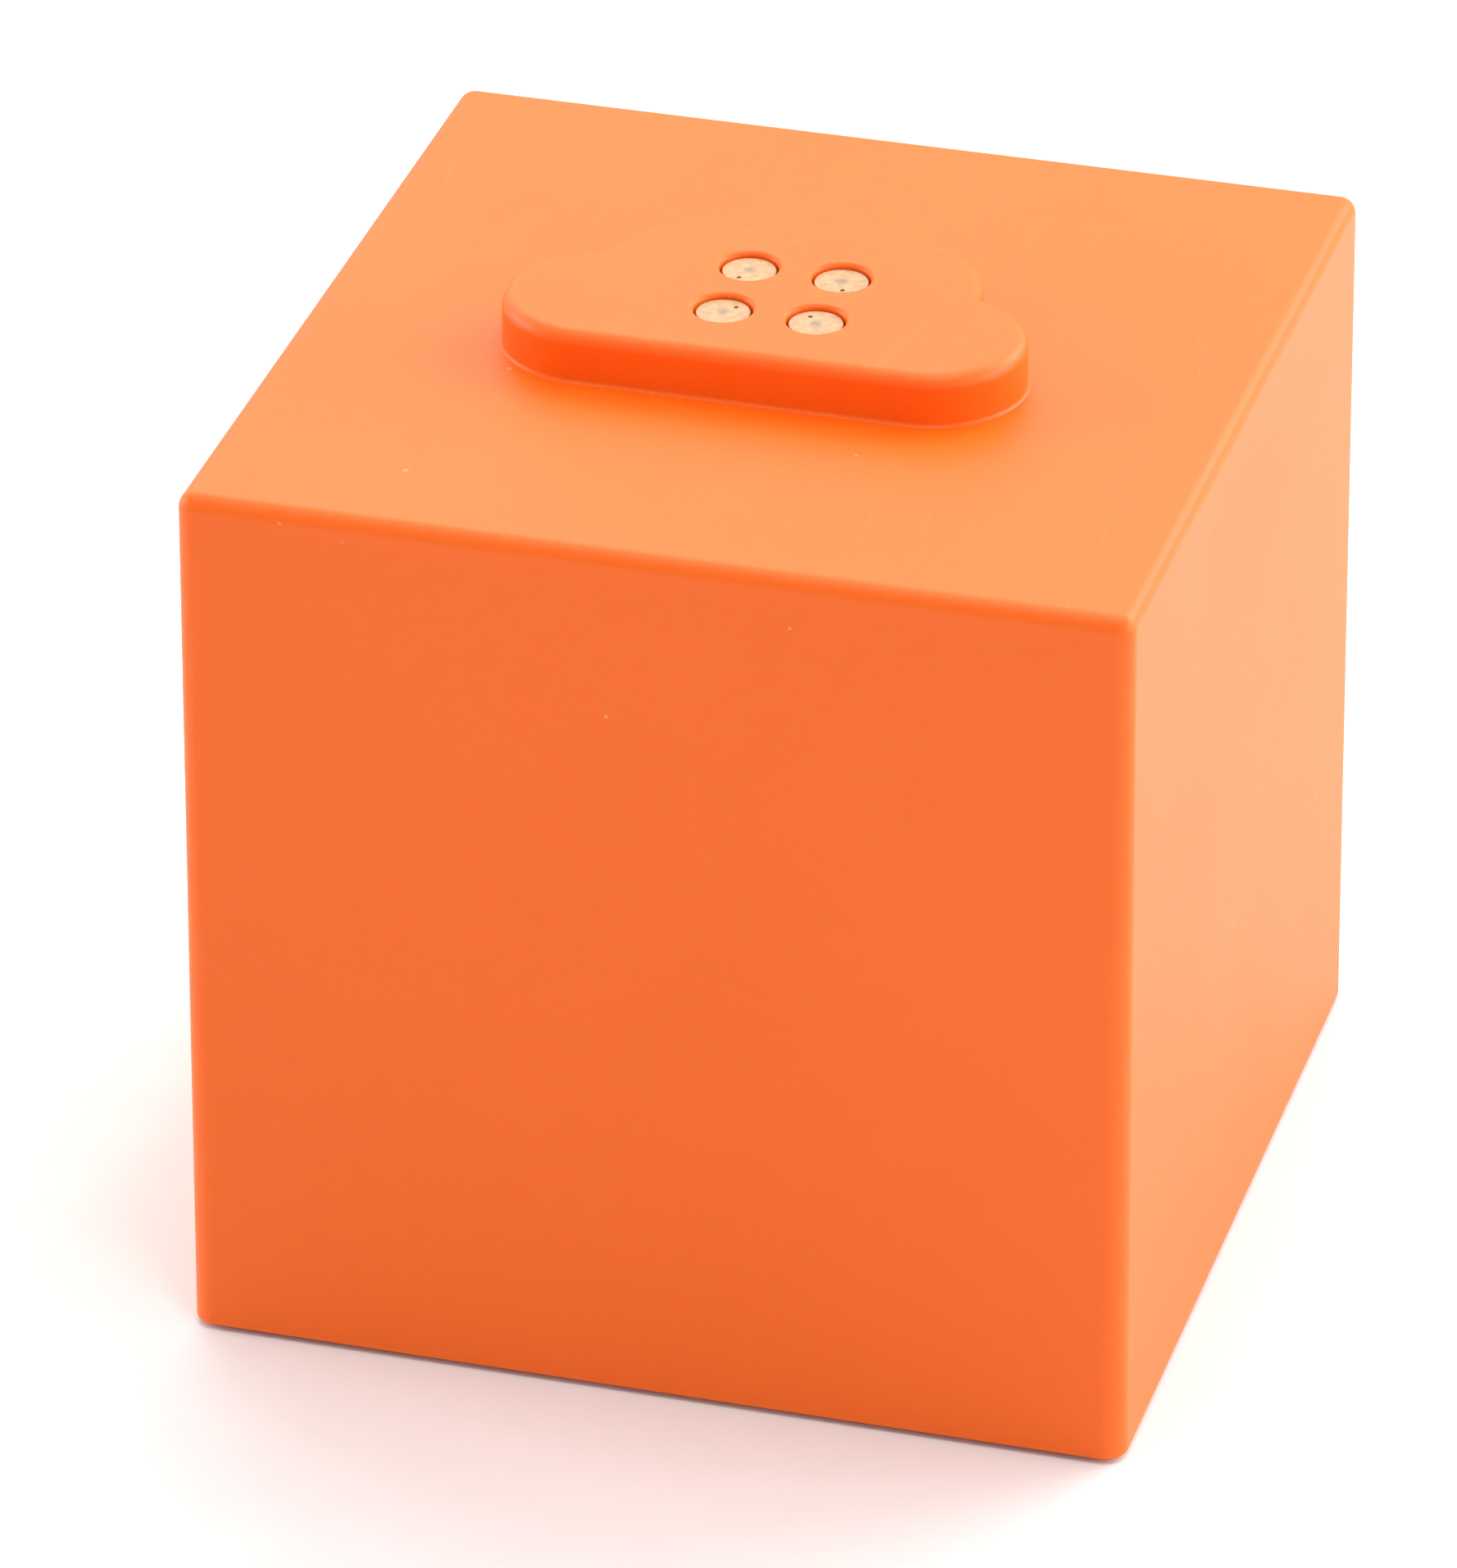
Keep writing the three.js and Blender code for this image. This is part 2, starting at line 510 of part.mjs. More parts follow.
const canOut = 2 * gap + radioModule.thickness;
const mainAssembly = group([
  piece('main_board', mainBoardPanel(), 'greenBoard'),
  piece('radio_module_board', slab(radioModule.width, radioModule.height, 0, radioModule.thickness), 'greenBoard',
    [radioModule.x, radioModule.z, gap]),
  piece('radio_shield_can', shieldCanShell(), 'shieldTin', [radioModule.x, shieldCan.z, canOut]),
  piece('antenna_wire', antennaWire(), 'copperWire'),
  piece('microcontroller', chip({ ...controller, width: controller.side, height: controller.side }, [0, 90, 180, 270]),
    'blackChip', [controller.x, controller.z, gap]),
  piece('memory_chip', chip(memory, [0, 180]), 'blackChip', [memory.x, memory.z, gap]),
  piece('voltage_regulator', regulatorChip(), 'blackChip', [regulator.x, regulator.z, gap]),
  piece('crystal', crystalCan(), 'shieldTin', [crystal.x, crystal.z, gap]),
  piece('power_inductor', powerInductor(), 'ferrite', [inductor.x, inductor.z, gap]),
  ...copies('smoothing_capacitor', smoothingCapacitor(), 'aluminiumCan', capacitor.xs.map((x) => [x, capacitor.z, gap])),
], [0, mainFront, 0], Math.PI / 2);

const cubeModule = new THREE.Group();
cubeModule.add(shell, upperContacts, baseAssembly, lowerContacts, mainAssembly);

export default cubeModule;
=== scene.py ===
import json
import math

import bmesh
import bpy
from mathutils import Matrix, Vector

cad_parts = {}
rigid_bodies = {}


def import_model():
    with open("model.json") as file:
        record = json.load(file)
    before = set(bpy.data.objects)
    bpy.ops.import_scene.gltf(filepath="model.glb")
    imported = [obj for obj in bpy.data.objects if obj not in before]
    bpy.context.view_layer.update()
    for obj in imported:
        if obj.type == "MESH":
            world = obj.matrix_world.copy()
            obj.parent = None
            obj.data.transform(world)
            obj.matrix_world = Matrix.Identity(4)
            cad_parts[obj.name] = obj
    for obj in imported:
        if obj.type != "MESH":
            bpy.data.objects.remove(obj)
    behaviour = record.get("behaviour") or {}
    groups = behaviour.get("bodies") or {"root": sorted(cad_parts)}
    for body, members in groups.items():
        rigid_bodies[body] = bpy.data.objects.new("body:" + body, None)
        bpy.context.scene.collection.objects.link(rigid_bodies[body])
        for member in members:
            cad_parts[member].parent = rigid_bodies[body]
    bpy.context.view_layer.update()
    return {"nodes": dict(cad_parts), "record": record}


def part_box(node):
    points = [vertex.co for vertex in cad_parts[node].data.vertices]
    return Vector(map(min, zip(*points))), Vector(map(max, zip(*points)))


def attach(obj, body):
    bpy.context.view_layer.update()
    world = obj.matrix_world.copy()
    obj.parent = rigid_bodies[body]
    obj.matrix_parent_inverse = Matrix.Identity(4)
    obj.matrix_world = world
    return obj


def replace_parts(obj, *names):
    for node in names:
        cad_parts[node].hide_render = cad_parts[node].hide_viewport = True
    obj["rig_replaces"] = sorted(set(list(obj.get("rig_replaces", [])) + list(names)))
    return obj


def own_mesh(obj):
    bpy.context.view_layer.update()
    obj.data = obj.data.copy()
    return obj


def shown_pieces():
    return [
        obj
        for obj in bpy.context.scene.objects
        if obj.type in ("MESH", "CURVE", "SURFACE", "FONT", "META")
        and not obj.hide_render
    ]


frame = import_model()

mm = 0.001


# Node trees

class Link:  # a node's socket that Python's operators work on
    def __init__(self, tree, socket):
        self.tree = tree
        self.socket = socket

    def calc(self, operation, *others, first=True):
        values = [self, *others] if first else [*others, self]
        return self.tree.add("ShaderNodeMath", {"operation": operation}, dict(enumerate(values)))

    def __add__(self, other):
        return self.calc("ADD", other)

    __radd__ = __add__

    def __sub__(self, other):
        return self.calc("SUBTRACT", other)

    def __rsub__(self, other):
        return self.calc("SUBTRACT", other, first=False)

    def __mul__(self, other):
        return self.calc("MULTIPLY", other)

    __rmul__ = __mul__

    def __truediv__(self, other):
        return self.calc("DIVIDE", other)

    def __abs__(self):
        return self.calc("ABSOLUTE")

    def __lt__(self, other):
        return self.calc("LESS_THAN", other)

    def __gt__(self, other):
        return self.calc("GREATER_THAN", other)


class Tree:  # adds nodes to a shader or geometry tree
    def __init__(self, nodeTree):
        self.nodeTree = nodeTree

    def add(self, kind, settings=None, sockets=None, out=0):
        node = self.nodeTree.nodes.new(kind)
        for name, value in (settings or {}).items():
            if name == "stops":
                self.setStops(node.color_ramp, value)
            else:
                setattr(node, name, value)
        for key, value in (sockets or {}).items():
            socket = self.find(node.inputs, key)
            for one in value if isinstance(value, list) else [value]:
                if isinstance(one, Link):
                    self.nodeTree.links.new(one.socket, socket)
                else:
                    socket.default_value = one
        return None if out is None else Link(self, self.find(node.outputs, out))

    def find(self, sockets, key):
        if isinstance(key, int):
            return sockets[key]
        return next(s for s in sockets if key in (s.identifier, s.name) and s.enabled)

    def setStops(self, ramp, stops):
        while len(ramp.elements) < len(stops):
            ramp.elements.new(0.5)
        for element, (position, grey) in zip(ramp.elements, stops):
            element.position = position
            element.color = (grey, grey, grey, 1.0)

    def other(self, link, out):  # another output of the same node
        return Link(self, self.find(link.socket.node.outputs, out))


class GeometryTree(Tree):
    def __init__(self, name, **sockets):  # sockets: the tree's inputs and their kinds
        super().__init__(bpy.data.node_groups.new(name, "GeometryNodeTree"))
        face = self.nodeTree.interface
        face.new_socket(name="Geometry", in_out="INPUT", socket_type="NodeSocketGeometry")
        face.new_socket(name="Geometry", in_out="OUTPUT", socket_type="NodeSocketGeometry")
        self.ids = {}
        for socketName, kind in sockets.items():
            made = face.new_socket(name=socketName, in_out="INPUT", socket_type=f"NodeSocket{kind}")
            self.ids[socketName] = made.identifier
        start = self.add("NodeGroupInput")
        self.geometry = start
        self.inputs = {socketName: self.other(start, i) for socketName, i in self.ids.items()}

    def vector(self, x=0.0, y=0.0, z=0.0):
        return self.add("ShaderNodeCombineXYZ", sockets={0: x, 1: y, 2: z})

    def scaled(self, vector, factor):
        return self.add("ShaderNodeVectorMath", {"operation": "SCALE"}, {"Vector": vector, "Scale": factor})

    def summed(self, a, b):
        return self.add("ShaderNodeVectorMath", {"operation": "ADD"}, {0: a, 1: b})

    def end(self, geometry):  # real meshes with a material, so that the export keeps them
        real = self.add("GeometryNodeRealizeInstances", sockets={"Geometry": geometry})
        painted = self.add("GeometryNodeSetMaterial", sockets={0: real, "Material": self.inputs["Finish"]})
        self.add("NodeGroupOutput", sockets={0: painted}, out=None)

    def make(self, name, base, **values):  # runs the tree on a mesh and keeps the plain result
        carrier = shown(name, base)
        modifier = carrier.modifiers.new("build", "NODES")
        modifier.node_group = self.nodeTree
        for socketName, value in values.items():
            modifier[self.ids[socketName]] = value
        return plain(carrier)


# Meshes, in millimetres until settle() puts them in the frame

def shown(name, mesh):
    made = bpy.data.objects.new(name, mesh)
    bpy.context.scene.collection.objects.link(made)
    return made


def plain(carrier):  # what the modifiers make, as a mesh of its own with its faces pointing outwards
    bpy.context.view_layer.update()
    evaluated = carrier.evaluated_get(bpy.context.evaluated_depsgraph_get())
    mesh = bpy.data.meshes.new_from_object(evaluated)
    name = carrier.name
    bpy.data.objects.remove(carrier)
    work = bmesh.new()
    work.from_mesh(mesh)
    bmesh.ops.remove_doubles(work, verts=work.verts, dist=1e-5)
    bmesh.ops.recalc_face_normals(work, faces=work.faces)
    work.to_mesh(mesh)
    work.free()
    return shown(name, mesh)


def moved(piece, x=0.0, y=0.0, z=0.0):
    piece.data.transform(Matrix.Translation((x, y, z)))
    return piece


def lineMesh(points, closed=False, outward=None):  # points joined in order by edges
    mesh = bpy.data.meshes.new("line")
    edges = [(i, i + 1) for i in range(len(points) - 1)] + ([(len(points) - 1, 0)] if closed else [])
    mesh.from_pydata(points, edges, [])
    if outward:
        attribute = mesh.attributes.new("outward", "FLOAT_VECTOR", "POINT")
        attribute.data.foreach_set("vector", [value for vector in outward for value in vector])
    return mesh


def combined(target, parts, operation):  # joins or cuts one after another
    for part in parts:
        modifier = target.modifiers.new("cut", "BOOLEAN")
        modifier.operation = operation
        modifier.solver = "EXACT"
        modifier.object = part
    result = plain(target)
    for part in parts:
        bpy.data.objects.remove(part)
    return result


def joined(target, *parts):
    return combined(target, parts, "UNION")


def cutBy(target, *parts):
    return combined(target, parts, "DIFFERENCE")


def settle(piece, name, body, nodes, finish, sharp=34.0):  # into the frame, under its own name
    piece.name = piece.data.name = name
    piece.data.transform(Matrix.Scale(mm, 4))
    piece.data.materials.clear()
    piece.data.materials.append(finish)
    piece.data.shade_smooth()
    piece.data.set_sharp_from_angle(angle=math.radians(sharp))
    weighted = piece.modifiers.new("even_shading", "WEIGHTED_NORMAL")
    weighted.keep_sharp = True
    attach(piece, body)
    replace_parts(piece, *nodes)
    print("made", name, len(piece.data.polygons), "faces")
    return piece


def arcPoints(x, y, radius, start, stop, steps):  # points and outward directions, angles in degrees
    angles = [math.radians(start + (stop - start) * i / steps) for i in range(steps + 1)]
    ways = [Vector((math.cos(a), math.sin(a), 0.0)) for a in angles]
    return [(Vector((x, y, 0.0)) + way * radius, way) for way in ways]


def outlineMesh(pairs):
    points, ways = zip(*pairs)
    return lineMesh(points, closed=True, outward=ways)


def roundedSquare(side, corner, steps=12):
    c = side / 2 - corner
    pairs = []
    for i, (sx, sy) in enumerate(quadrants):
        pairs += arcPoints(sx * c, sy * c, corner, 180 + 90 * i, 270 + 90 * i, steps)
    return outlineMesh(pairs)


def circle(radius, steps=64):
    return outlineMesh(arcPoints(0, 0, radius, 0, 360, steps)[:-1])


quadrants = [(-1, -1), (1, -1), (1, 1), (-1, 1)]  # anticlockwise from the front left


# Geometry trees

def wallTree():  # a solid whose wall follows an outline, with a round at the foot and the top of the wall
    tree = GeometryTree("mouldedWall", Grow="Float", Low="Float", High="Float", LowRound="Float",
                        HighRound="Float", Draft="Float", Steps="Int", Finish="Material")
    at = tree.inputs
    count = tree.add("GeometryNodeAttributeDomainSize", sockets={"Geometry": tree.geometry})
    index = tree.add("GeometryNodeInputIndex")
    position = tree.add("GeometryNodeInputPosition")
    outward = tree.add("GeometryNodeInputNamedAttribute", {"data_type": "FLOAT_VECTOR"}, {"Name": "outward"})

    def along(value, i):
        return tree.add("GeometryNodeSampleIndex", {"data_type": "FLOAT_VECTOR"},
                        {"Geometry": tree.geometry, "Value": value, "Index": i})

    def place(i, offset, z):
        inPlane = tree.summed(along(position, i), tree.scaled(along(outward, i), offset))
        return tree.summed(inPlane, tree.vector(z=z))

    steps = at["Steps"]
    rows = 2 * steps + 2
    column = ((index + 0.5) / rows).calc("FLOOR")
    row = index.calc("MODULO", rows)
    quarter = math.pi / 2
    lowAngle = row.calc("MINIMUM", steps) / steps * quarter
    highAngle = (row - steps - 1).calc("MAXIMUM", 0.0) / steps * quarter
    upper = row > steps + 0.5
    lowZ = at["Low"] + abs(at["LowRound"]) * (1 - lowAngle.calc("COSINE"))
    highZ = at["High"] - abs(at["HighRound"]) * (1 - highAngle.calc("SINE"))
    z = lowZ + upper * (highZ - lowZ)
    rounds = at["LowRound"] * (1 - lowAngle.calc("SINE")) - at["HighRound"] * (1 - highAngle.calc("COSINE"))
    offset = at["Grow"] + rounds - at["Draft"] * (z - at["Low"])
    grid = tree.add("GeometryNodeMeshGrid", sockets={"Vertices X": count + 1, "Vertices Y": rows})
    wall = tree.add("GeometryNodeSetPosition",
                    sockets={"Geometry": grid, "Position": place(column.calc("MODULO", count), offset, z)})
    height = at["High"] - at["Low"]
    disc = tree.add("GeometryNodeMeshCircle", {"fill_type": "NGON"}, {"Vertices": count})
    foot = place(index, at["Grow"] + at["LowRound"], at["Low"])
    top = place(index, at["Grow"] - at["HighRound"] - at["Draft"] * height, at["High"])
    caps = [tree.add("GeometryNodeSetPosition", sockets={"Geometry": disc, "Position": ring})
            for ring in (foot, top)]
    both = tree.add("GeometryNodeJoinGeometry", sockets={"Geometry": [wall, *caps]})
    tree.end(tree.add("GeometryNodeMergeByDistance", sockets={"Geometry": both, "Distance": 1e-4}))
    return tree


def latheTree():  # turns a profile of (radius, 0, height) points about Z
    tree = GeometryTree("turnedProfile", Around="Int", Finish="Material")
    count = tree.add("GeometryNodeAttributeDomainSize", sockets={"Geometry": tree.geometry})
    index = tree.add("GeometryNodeInputIndex")
    position = tree.add("GeometryNodeInputPosition")
    around = tree.inputs["Around"]
    point = tree.add("GeometryNodeSampleIndex", {"data_type": "FLOAT_VECTOR"},
                     {"Geometry": tree.geometry, "Value": position, "Index": index.calc("MODULO", count)})
    parts = tree.add("ShaderNodeSeparateXYZ", sockets={0: point})
    radius = tree.other(parts, "X")
    angle = ((index + 0.5) / count).calc("FLOOR").calc("MODULO", around) / around * (2 * math.pi)
    turned = tree.vector(radius * angle.calc("COSINE"), radius * angle.calc("SINE"), tree.other(parts, "Z"))
    grid = tree.add("GeometryNodeMeshGrid", sockets={"Vertices X": around + 1, "Vertices Y": count})
    skin = tree.add("GeometryNodeSetPosition", sockets={"Geometry": grid, "Position": turned})
    tree.end(tree.add("GeometryNodeMergeByDistance", sockets={"Geometry": skin, "Distance": 1e-4}))
    return tree


def copiesTree():  # one copy of a piece on each point of Places, each turned by Twist more than the last
    tree = GeometryTree("copiesOnPlaces", Places="Object", Twist="Float", Finish="Material")
    places = tree.add("GeometryNodeObjectInfo", sockets={"Object": tree.inputs["Places"]}, out="Geometry")
    turn = tree.vector(z=tree.inputs["Twist"] * tree.add("GeometryNodeInputIndex"))
    tree.end(tree.add("GeometryNodeInstanceOnPoints",
                      sockets={"Points": places, "Instance": tree.geometry, "Rotation": turn}))
    return tree


coilSteps = {"perTurn": 28, "aroundWire": 10}


def coilTree():  # a coil spring standing on Z = 0
    tree = GeometryTree("coilSpring", Radius="Float", Wire="Float", Turns="Float", Height="Float",
                        Finish="Material")
    at = tree.inputs
    spiral = tree.add("GeometryNodeCurveSpiral",
                      sockets={"Resolution": coilSteps["perTurn"], "Rotations": at["Turns"],
                               "Start Radius": at["Radius"], "End Radius": at["Radius"],
                               "Height": at["Height"] - 2 * at["Wire"]})
    section = tree.add("GeometryNodeCurvePrimitiveCircle",
                       sockets={"Resolution": coilSteps["aroundWire"], "Radius": at["Wire"]})
    wire = tree.add("GeometryNodeCurveToMesh",
                    sockets={"Curve": spiral, "Profile Curve": section, "Fill Caps": True})
    tree.end(tree.add("GeometryNodeTransform",
                      sockets={"Geometry": wire, "Translation": tree.vector(z=at["Wire"])}))
    return tree


# Finishes

contacts = {"pitch": 6.7}


class Finish(Tree):  # one material; patterns are laid out in millimetres of the object's own frame
    def __init__(self, name, **constants):
        self.material = bpy.data.materials.new(name)
        self.material.use_nodes = True
        super().__init__(self.material.node_tree)
        self.nodeTree.nodes.clear()
        self.shader = self.nodeTree.nodes.new("ShaderNodeBsdfPrincipled")
        output = self.nodeTree.nodes.new("ShaderNodeOutputMaterial")
        self.nodeTree.links.new(self.shader.outputs[0], output.inputs[0])
        for key, value in constants.items():
            self.shader.inputs[key.replace("_", " ")].default_value = value
        ownFrame = self.add("ShaderNodeTexCoord", out="Object")
        self.place = self.add("ShaderNodeMapping", sockets={"Vector": ownFrame, "Scale": (1 / mm,) * 3})

    def stretched(self, scale, turn=(0, 0, 0)):
        return self.add("ShaderNodeMapping", sockets={"Vector": self.place, "Scale": scale, "Rotation": turn})

    def noise(self, size, detail=2.0, where=None, roughness=0.5):  # size of a blotch in millimetres
        return self.add("ShaderNodeTexNoise", sockets={"Vector": where or self.place, "Scale": 1 / size,
                                                       "Detail": detail, "Roughness": roughness})

    def vector(self, operation, *values, out=0):
        return self.add("ShaderNodeVectorMath", {"operation": operation}, dict(enumerate(values)), out)

    def ramp(self, value, *stops):
        return self.add("ShaderNodeValToRGB", {"stops": stops}, {"Fac": value})

    def blend(self, factor, a, b):
        colours = {key: (*value, 1.0) if isinstance(value, tuple) else value
                   for key, value in (("A_Color", a), ("B_Color", b))}
        return self.add("ShaderNodeMix", {"data_type": "RGBA"}, {"Factor_Float": factor, **colours},
                        "Result_Color")

    def feed(self, **links):
        for key, link in links.items():
            self.nodeTree.links.new(link.socket, self.shader.inputs[key.replace("_", " ")])

    def oneSided(self):  # nothing shows from behind
        output = self.nodeTree.nodes["Material Output"]
        behind = self.add("ShaderNodeNewGeometry", out="Backfacing")
        clear = self.add("ShaderNodeBsdfTransparent")
        front = Link(self, self.shader.outputs[0])
        mixed = self.add("ShaderNodeMixShader", sockets={0: behind, 1: front, 2: clear})
        self.nodeTree.links.new(mixed.socket, output.inputs[0])

    def bump(self, height, depth, strength=1.0):  # depth in millimetres
        made = self.add("ShaderNodeBump",
                        sockets={"Height": height, "Distance": depth * mm, "Strength": strength})
        self.feed(Normal=made)


def shellOrange():
    look = {"body": (0.95, 0.145, 0.001), "deep": (0.90, 0.136, 0.001), "dust": (0.95, 0.62, 0.42),
            "roughness": 0.46, "grain": 0.16, "grainDepth": 0.004, "cloud": 22, "speckPitch": 4.0,
            "speckSize": 0.085, "speckArea": 0.52, "hairWidth": 0.99985, "hairArea": 0.66}  # lengths in mm
    finish = Finish("shell_orange", IOR=1.45, Subsurface_Weight=0.35, Subsurface_Radius=(1.0, 0.35, 0.1),
                    Subsurface_Scale=0.0012)
    cloudy = finish.ramp(finish.noise(look["cloud"], 3), (0.35, 0.0), (0.7, 1.0))
    grain = finish.noise(look["grain"], 2)
    tone = finish.blend(cloudy * 0.5 + (grain - 0.5) * 0.5, look["body"], look["deep"])
    specks = finish.add("ShaderNodeTexVoronoi", {"feature": "F1"},
                        {"Vector": finish.place, "Scale": 1 / look["speckPitch"]})
    size = finish.noise(3, 0)
    dust = (specks + size * 0.12 < look["speckSize"]) * (finish.noise(9, 0) > look["speckArea"])
    hair = finish.add("ShaderNodeTexWave", {"wave_type": "BANDS"},
                      {"Vector": finish.stretched((0.9, 1.1, 1.0), (0.4, 0.9, 0.3)), "Scale": 0.12,
                       "Distortion": 9.0, "Detail": 1.0, "Detail Scale": 0.3})
    hairs = (finish.other(hair, "Fac") > look["hairWidth"]) * (finish.noise(7, 0) > look["hairArea"])
    marks = (dust + hairs * 0.35).calc("MINIMUM", 1.0)
    finish.feed(Base_Color=finish.blend(marks * 0.35, tone, look["dust"]),
                Roughness=look["roughness"] + (grain - 0.5) * 0.06 + (cloudy - 0.5) * 0.03 + marks * 0.2)
    finish.bump(grain + marks * 2, look["grainDepth"])
    return finish.material


def contactGold():
    look = {"gold": (0.44, 0.26, 0.12), "pale": (0.6, 0.41, 0.24), "scuff": (0.16, 0.16, 0.17),
            "scuffRadius": 0.6, "mottle": 0.55, "roughness": 0.42, "depth": 0.003}
    finish = Finish("contact_gold", Metallic=0.5)
    middle = contacts["pitch"] / 2
    folded = finish.vector("ABSOLUTE", finish.place)
    offset = finish.vector("SUBTRACT", folded, (middle, middle, 0.0))
    reach = finish.vector("LENGTH", finish.vector("MULTIPLY", offset, (1.0, 1.0, 0.0)), out="Value")
    mottle = finish.ramp(finish.noise(look["mottle"], 5, roughness=0.65), (0.3, 0.0), (0.7, 1.0))
    rubbed = (1 - reach / look["scuffRadius"]).calc("MAXIMUM", 0.0) * finish.noise(0.25, 3) * 1.3
    tone = finish.blend(mottle, look["gold"], look["pale"])
    finish.feed(Base_Color=finish.blend(rubbed, tone, look["scuff"]),
                Roughness=look["roughness"] + mottle * 0.1)
    finish.bump(mottle, look["depth"])
    return finish.material


def plainMetal(name, colour, worn, roughness, grainSize, metallic=1.0):
    finish = Finish(name, Metallic=metallic)
    streaks = finish.noise(grainSize, 4)
    wear = finish.ramp(finish.noise(grainSize * 9, 3), (0.45, 0.0), (0.65, 1.0))
    finish.feed(Base_Color=finish.blend(wear * 0.6, colour, worn),
                Roughness=roughness + (streaks - 0.5) * 0.16 + wear * 0.08)
    finish.bump(streaks, 0.006)
    return finish.material


def plainPlastic(name, colour, dusty, roughness, grainSize, depth=0.01):
    finish = Finish(name, IOR=1.5)
    grain = finish.noise(grainSize, 3)
    bloom = finish.ramp(finish.noise(grainSize * 25, 4), (0.4, 0.0), (0.75, 1.0))
    finish.feed(Base_Color=finish.blend(bloom * 0.5 + (grain - 0.5) * 0.2, colour, dusty),
                Roughness=roughness + (grain - 0.5) * 0.1 + bloom * 0.05)
    finish.bump(grain, depth)
    return finish.material


def boardGreen():
    look = {"mask": (0.02, 0.17, 0.07), "trace": (0.05, 0.3, 0.13), "roughness": 0.35, "depth": 0.02}
    finish = Finish("board_green", IOR=1.5, Coat_Weight=0.3)
    brick = finish.add("ShaderNodeTexBrick", {"offset": 0.37, "squash": 1.7},
                       {"Vector": finish.place, "Scale": 0.45, "Mortar Size": 0.02, "Color1": (0, 0, 0, 1),
                        "Color2": (0.4, 0.4, 0.4, 1), "Mortar": (1, 1, 1, 1)}, "Color")
    patches = finish.ramp(finish.noise(7, 1), (0.48, 0.0), (0.5, 1.0))
    finish.feed(Base_Color=finish.blend(brick * 0.6 + patches * 0.25, look["mask"], look["trace"]),
                Roughness=look["roughness"] + finish.noise(0.6, 3) * 0.15)
    finish.bump(brick * 0.5 + patches, look["depth"])
    return finish.material


finishes = {  # colour, worn or dusty colour, roughness, size of the grain in mm
    "shell_orange": shellOrange(),
    "contact_gold": contactGold(),
    "foot_rubber": plainPlastic("foot_rubber", (0.022, 0.022, 0.024), (0.06, 0.057, 0.054), 0.75, 0.12, 0.03),
    "pin_gold": plainMetal("pin_gold", (0.86, 0.6, 0.24), (0.94, 0.75, 0.44), 0.26, 0.15),
    "spring_steel": plainMetal("spring_steel", (0.56, 0.56, 0.58), (0.4, 0.39, 0.38), 0.3, 0.08),
    "screw_zinc": plainMetal("screw_zinc", (0.6, 0.61, 0.63), (0.42, 0.42, 0.42), 0.34, 0.25),
    "board_green": boardGreen(),
    "shield_tin": plainMetal("shield_tin", (0.72, 0.72, 0.71), (0.55, 0.54, 0.52), 0.38, 0.4),
    "antenna_copper": plainMetal("antenna_copper", (0.55, 0.23, 0.09), (0.38, 0.14, 0.06), 0.32, 0.2),
    "header_black": plainPlastic("header_black", (0.018, 0.018, 0.02), (0.04, 0.04, 0.042), 0.5, 0.1),
    "chip_black": plainPlastic("chip_black", (0.022, 0.023, 0.025), (0.05, 0.05, 0.052), 0.55, 0.08),
    "inductor_ferrite": plainPlastic("inductor_ferrite", (0.055, 0.055, 0.06), (0.1, 0.1, 0.1), 0.62, 0.15),
    "capacitor_aluminium": plainMetal("capacitor_aluminium", (0.78, 0.79, 0.8), (0.6, 0.6, 0.6), 0.28, 0.3),
}
print("finishes", len(finishes))


# Sizes that the pieces share; the housing's and the discs' come from the frame

housingLow, housingHigh = (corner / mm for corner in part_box("housing"))
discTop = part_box("top_contact_1")[1].z / mm
# lobes of the boss: x, y, radius
boss = {"height": 3.8, "topRound": 1.0, "footRound": 0.3, "notch": 0.6, "rounding": 14,
        "lobes": [(11.7, -3.4, 6.7), (4.8, 2.7, 8.7), (-6.46, 2.38, 7.5), (-12.45, -3.4, 6.7)]}
bossTop = housingHigh.z
faceTop = bossTop - boss["height"]
contactSpots = [(sx * contacts["pitch"] / 2, sy * contacts["pitch"] / 2) for sx, sy in quadrants]

skin = 0.005  # how far a cut starts outside a face that it opens
past = 1.0  # how far a cut runs on past the material
overlap = 0.3  # how far joined solids run into each other

walls = wallTree()
lathe = latheTree()
copies = copiesTree()
coils = coilTree()
print("geometry trees", len(bpy.data.node_groups))


def cloudOutline(notch, grow=0.0, step=3.5):  # lobes joined by small notch arcs, flat side to the front
    lobes = [(x, y, radius + grow) for x, y, radius in boss["lobes"]]
    fillets = []
    for (ax, ay, ar), (bx, by, br) in zip(lobes, lobes[1:]):
        ra, rb, dx, dy = ar + notch, br + notch, bx - ax, by - ay
        distance = math.hypot(dx, dy)
        along = (ra * ra - rb * rb + distance * distance) / (2 * distance)
        out = math.sqrt(ra * ra - along * along)
        fillets.append((ax + (along * dx + out * dy) / distance, ay + (along * dy - out * dx) / distance))

    def heading(fromX, fromY, toX, toY):
        return math.degrees(math.atan2(toY - fromY, toX - fromX))

    pairs = []
    start = -90.0
    for i, (x, y, radius) in enumerate(lobes):
        stop = heading(x, y, *fillets[i]) if i < len(fillets) else 270.0
        pairs += arcPoints(x, y, radius, start, stop, round((stop - start) / step))
        if i < len(fillets):
            fx, fy = fillets[i]
            nextX, nextY, nextRadius = lobes[i + 1]
            inTurn, outTurn = heading(fx, fy, x, y), heading(fx, fy, nextX, nextY)
            outTurn -= 360.0 if outTurn > inTurn else 0.0
            turn = arcPoints(fx, fy, notch, inTurn, outTurn, round((inTurn - outTurn) / (3 * step)))
            pairs += [(point, -way) for point, way in turn[1:-1]]
            start = heading(nextX, nextY, fx, fy)
    return outlineMesh(pairs)


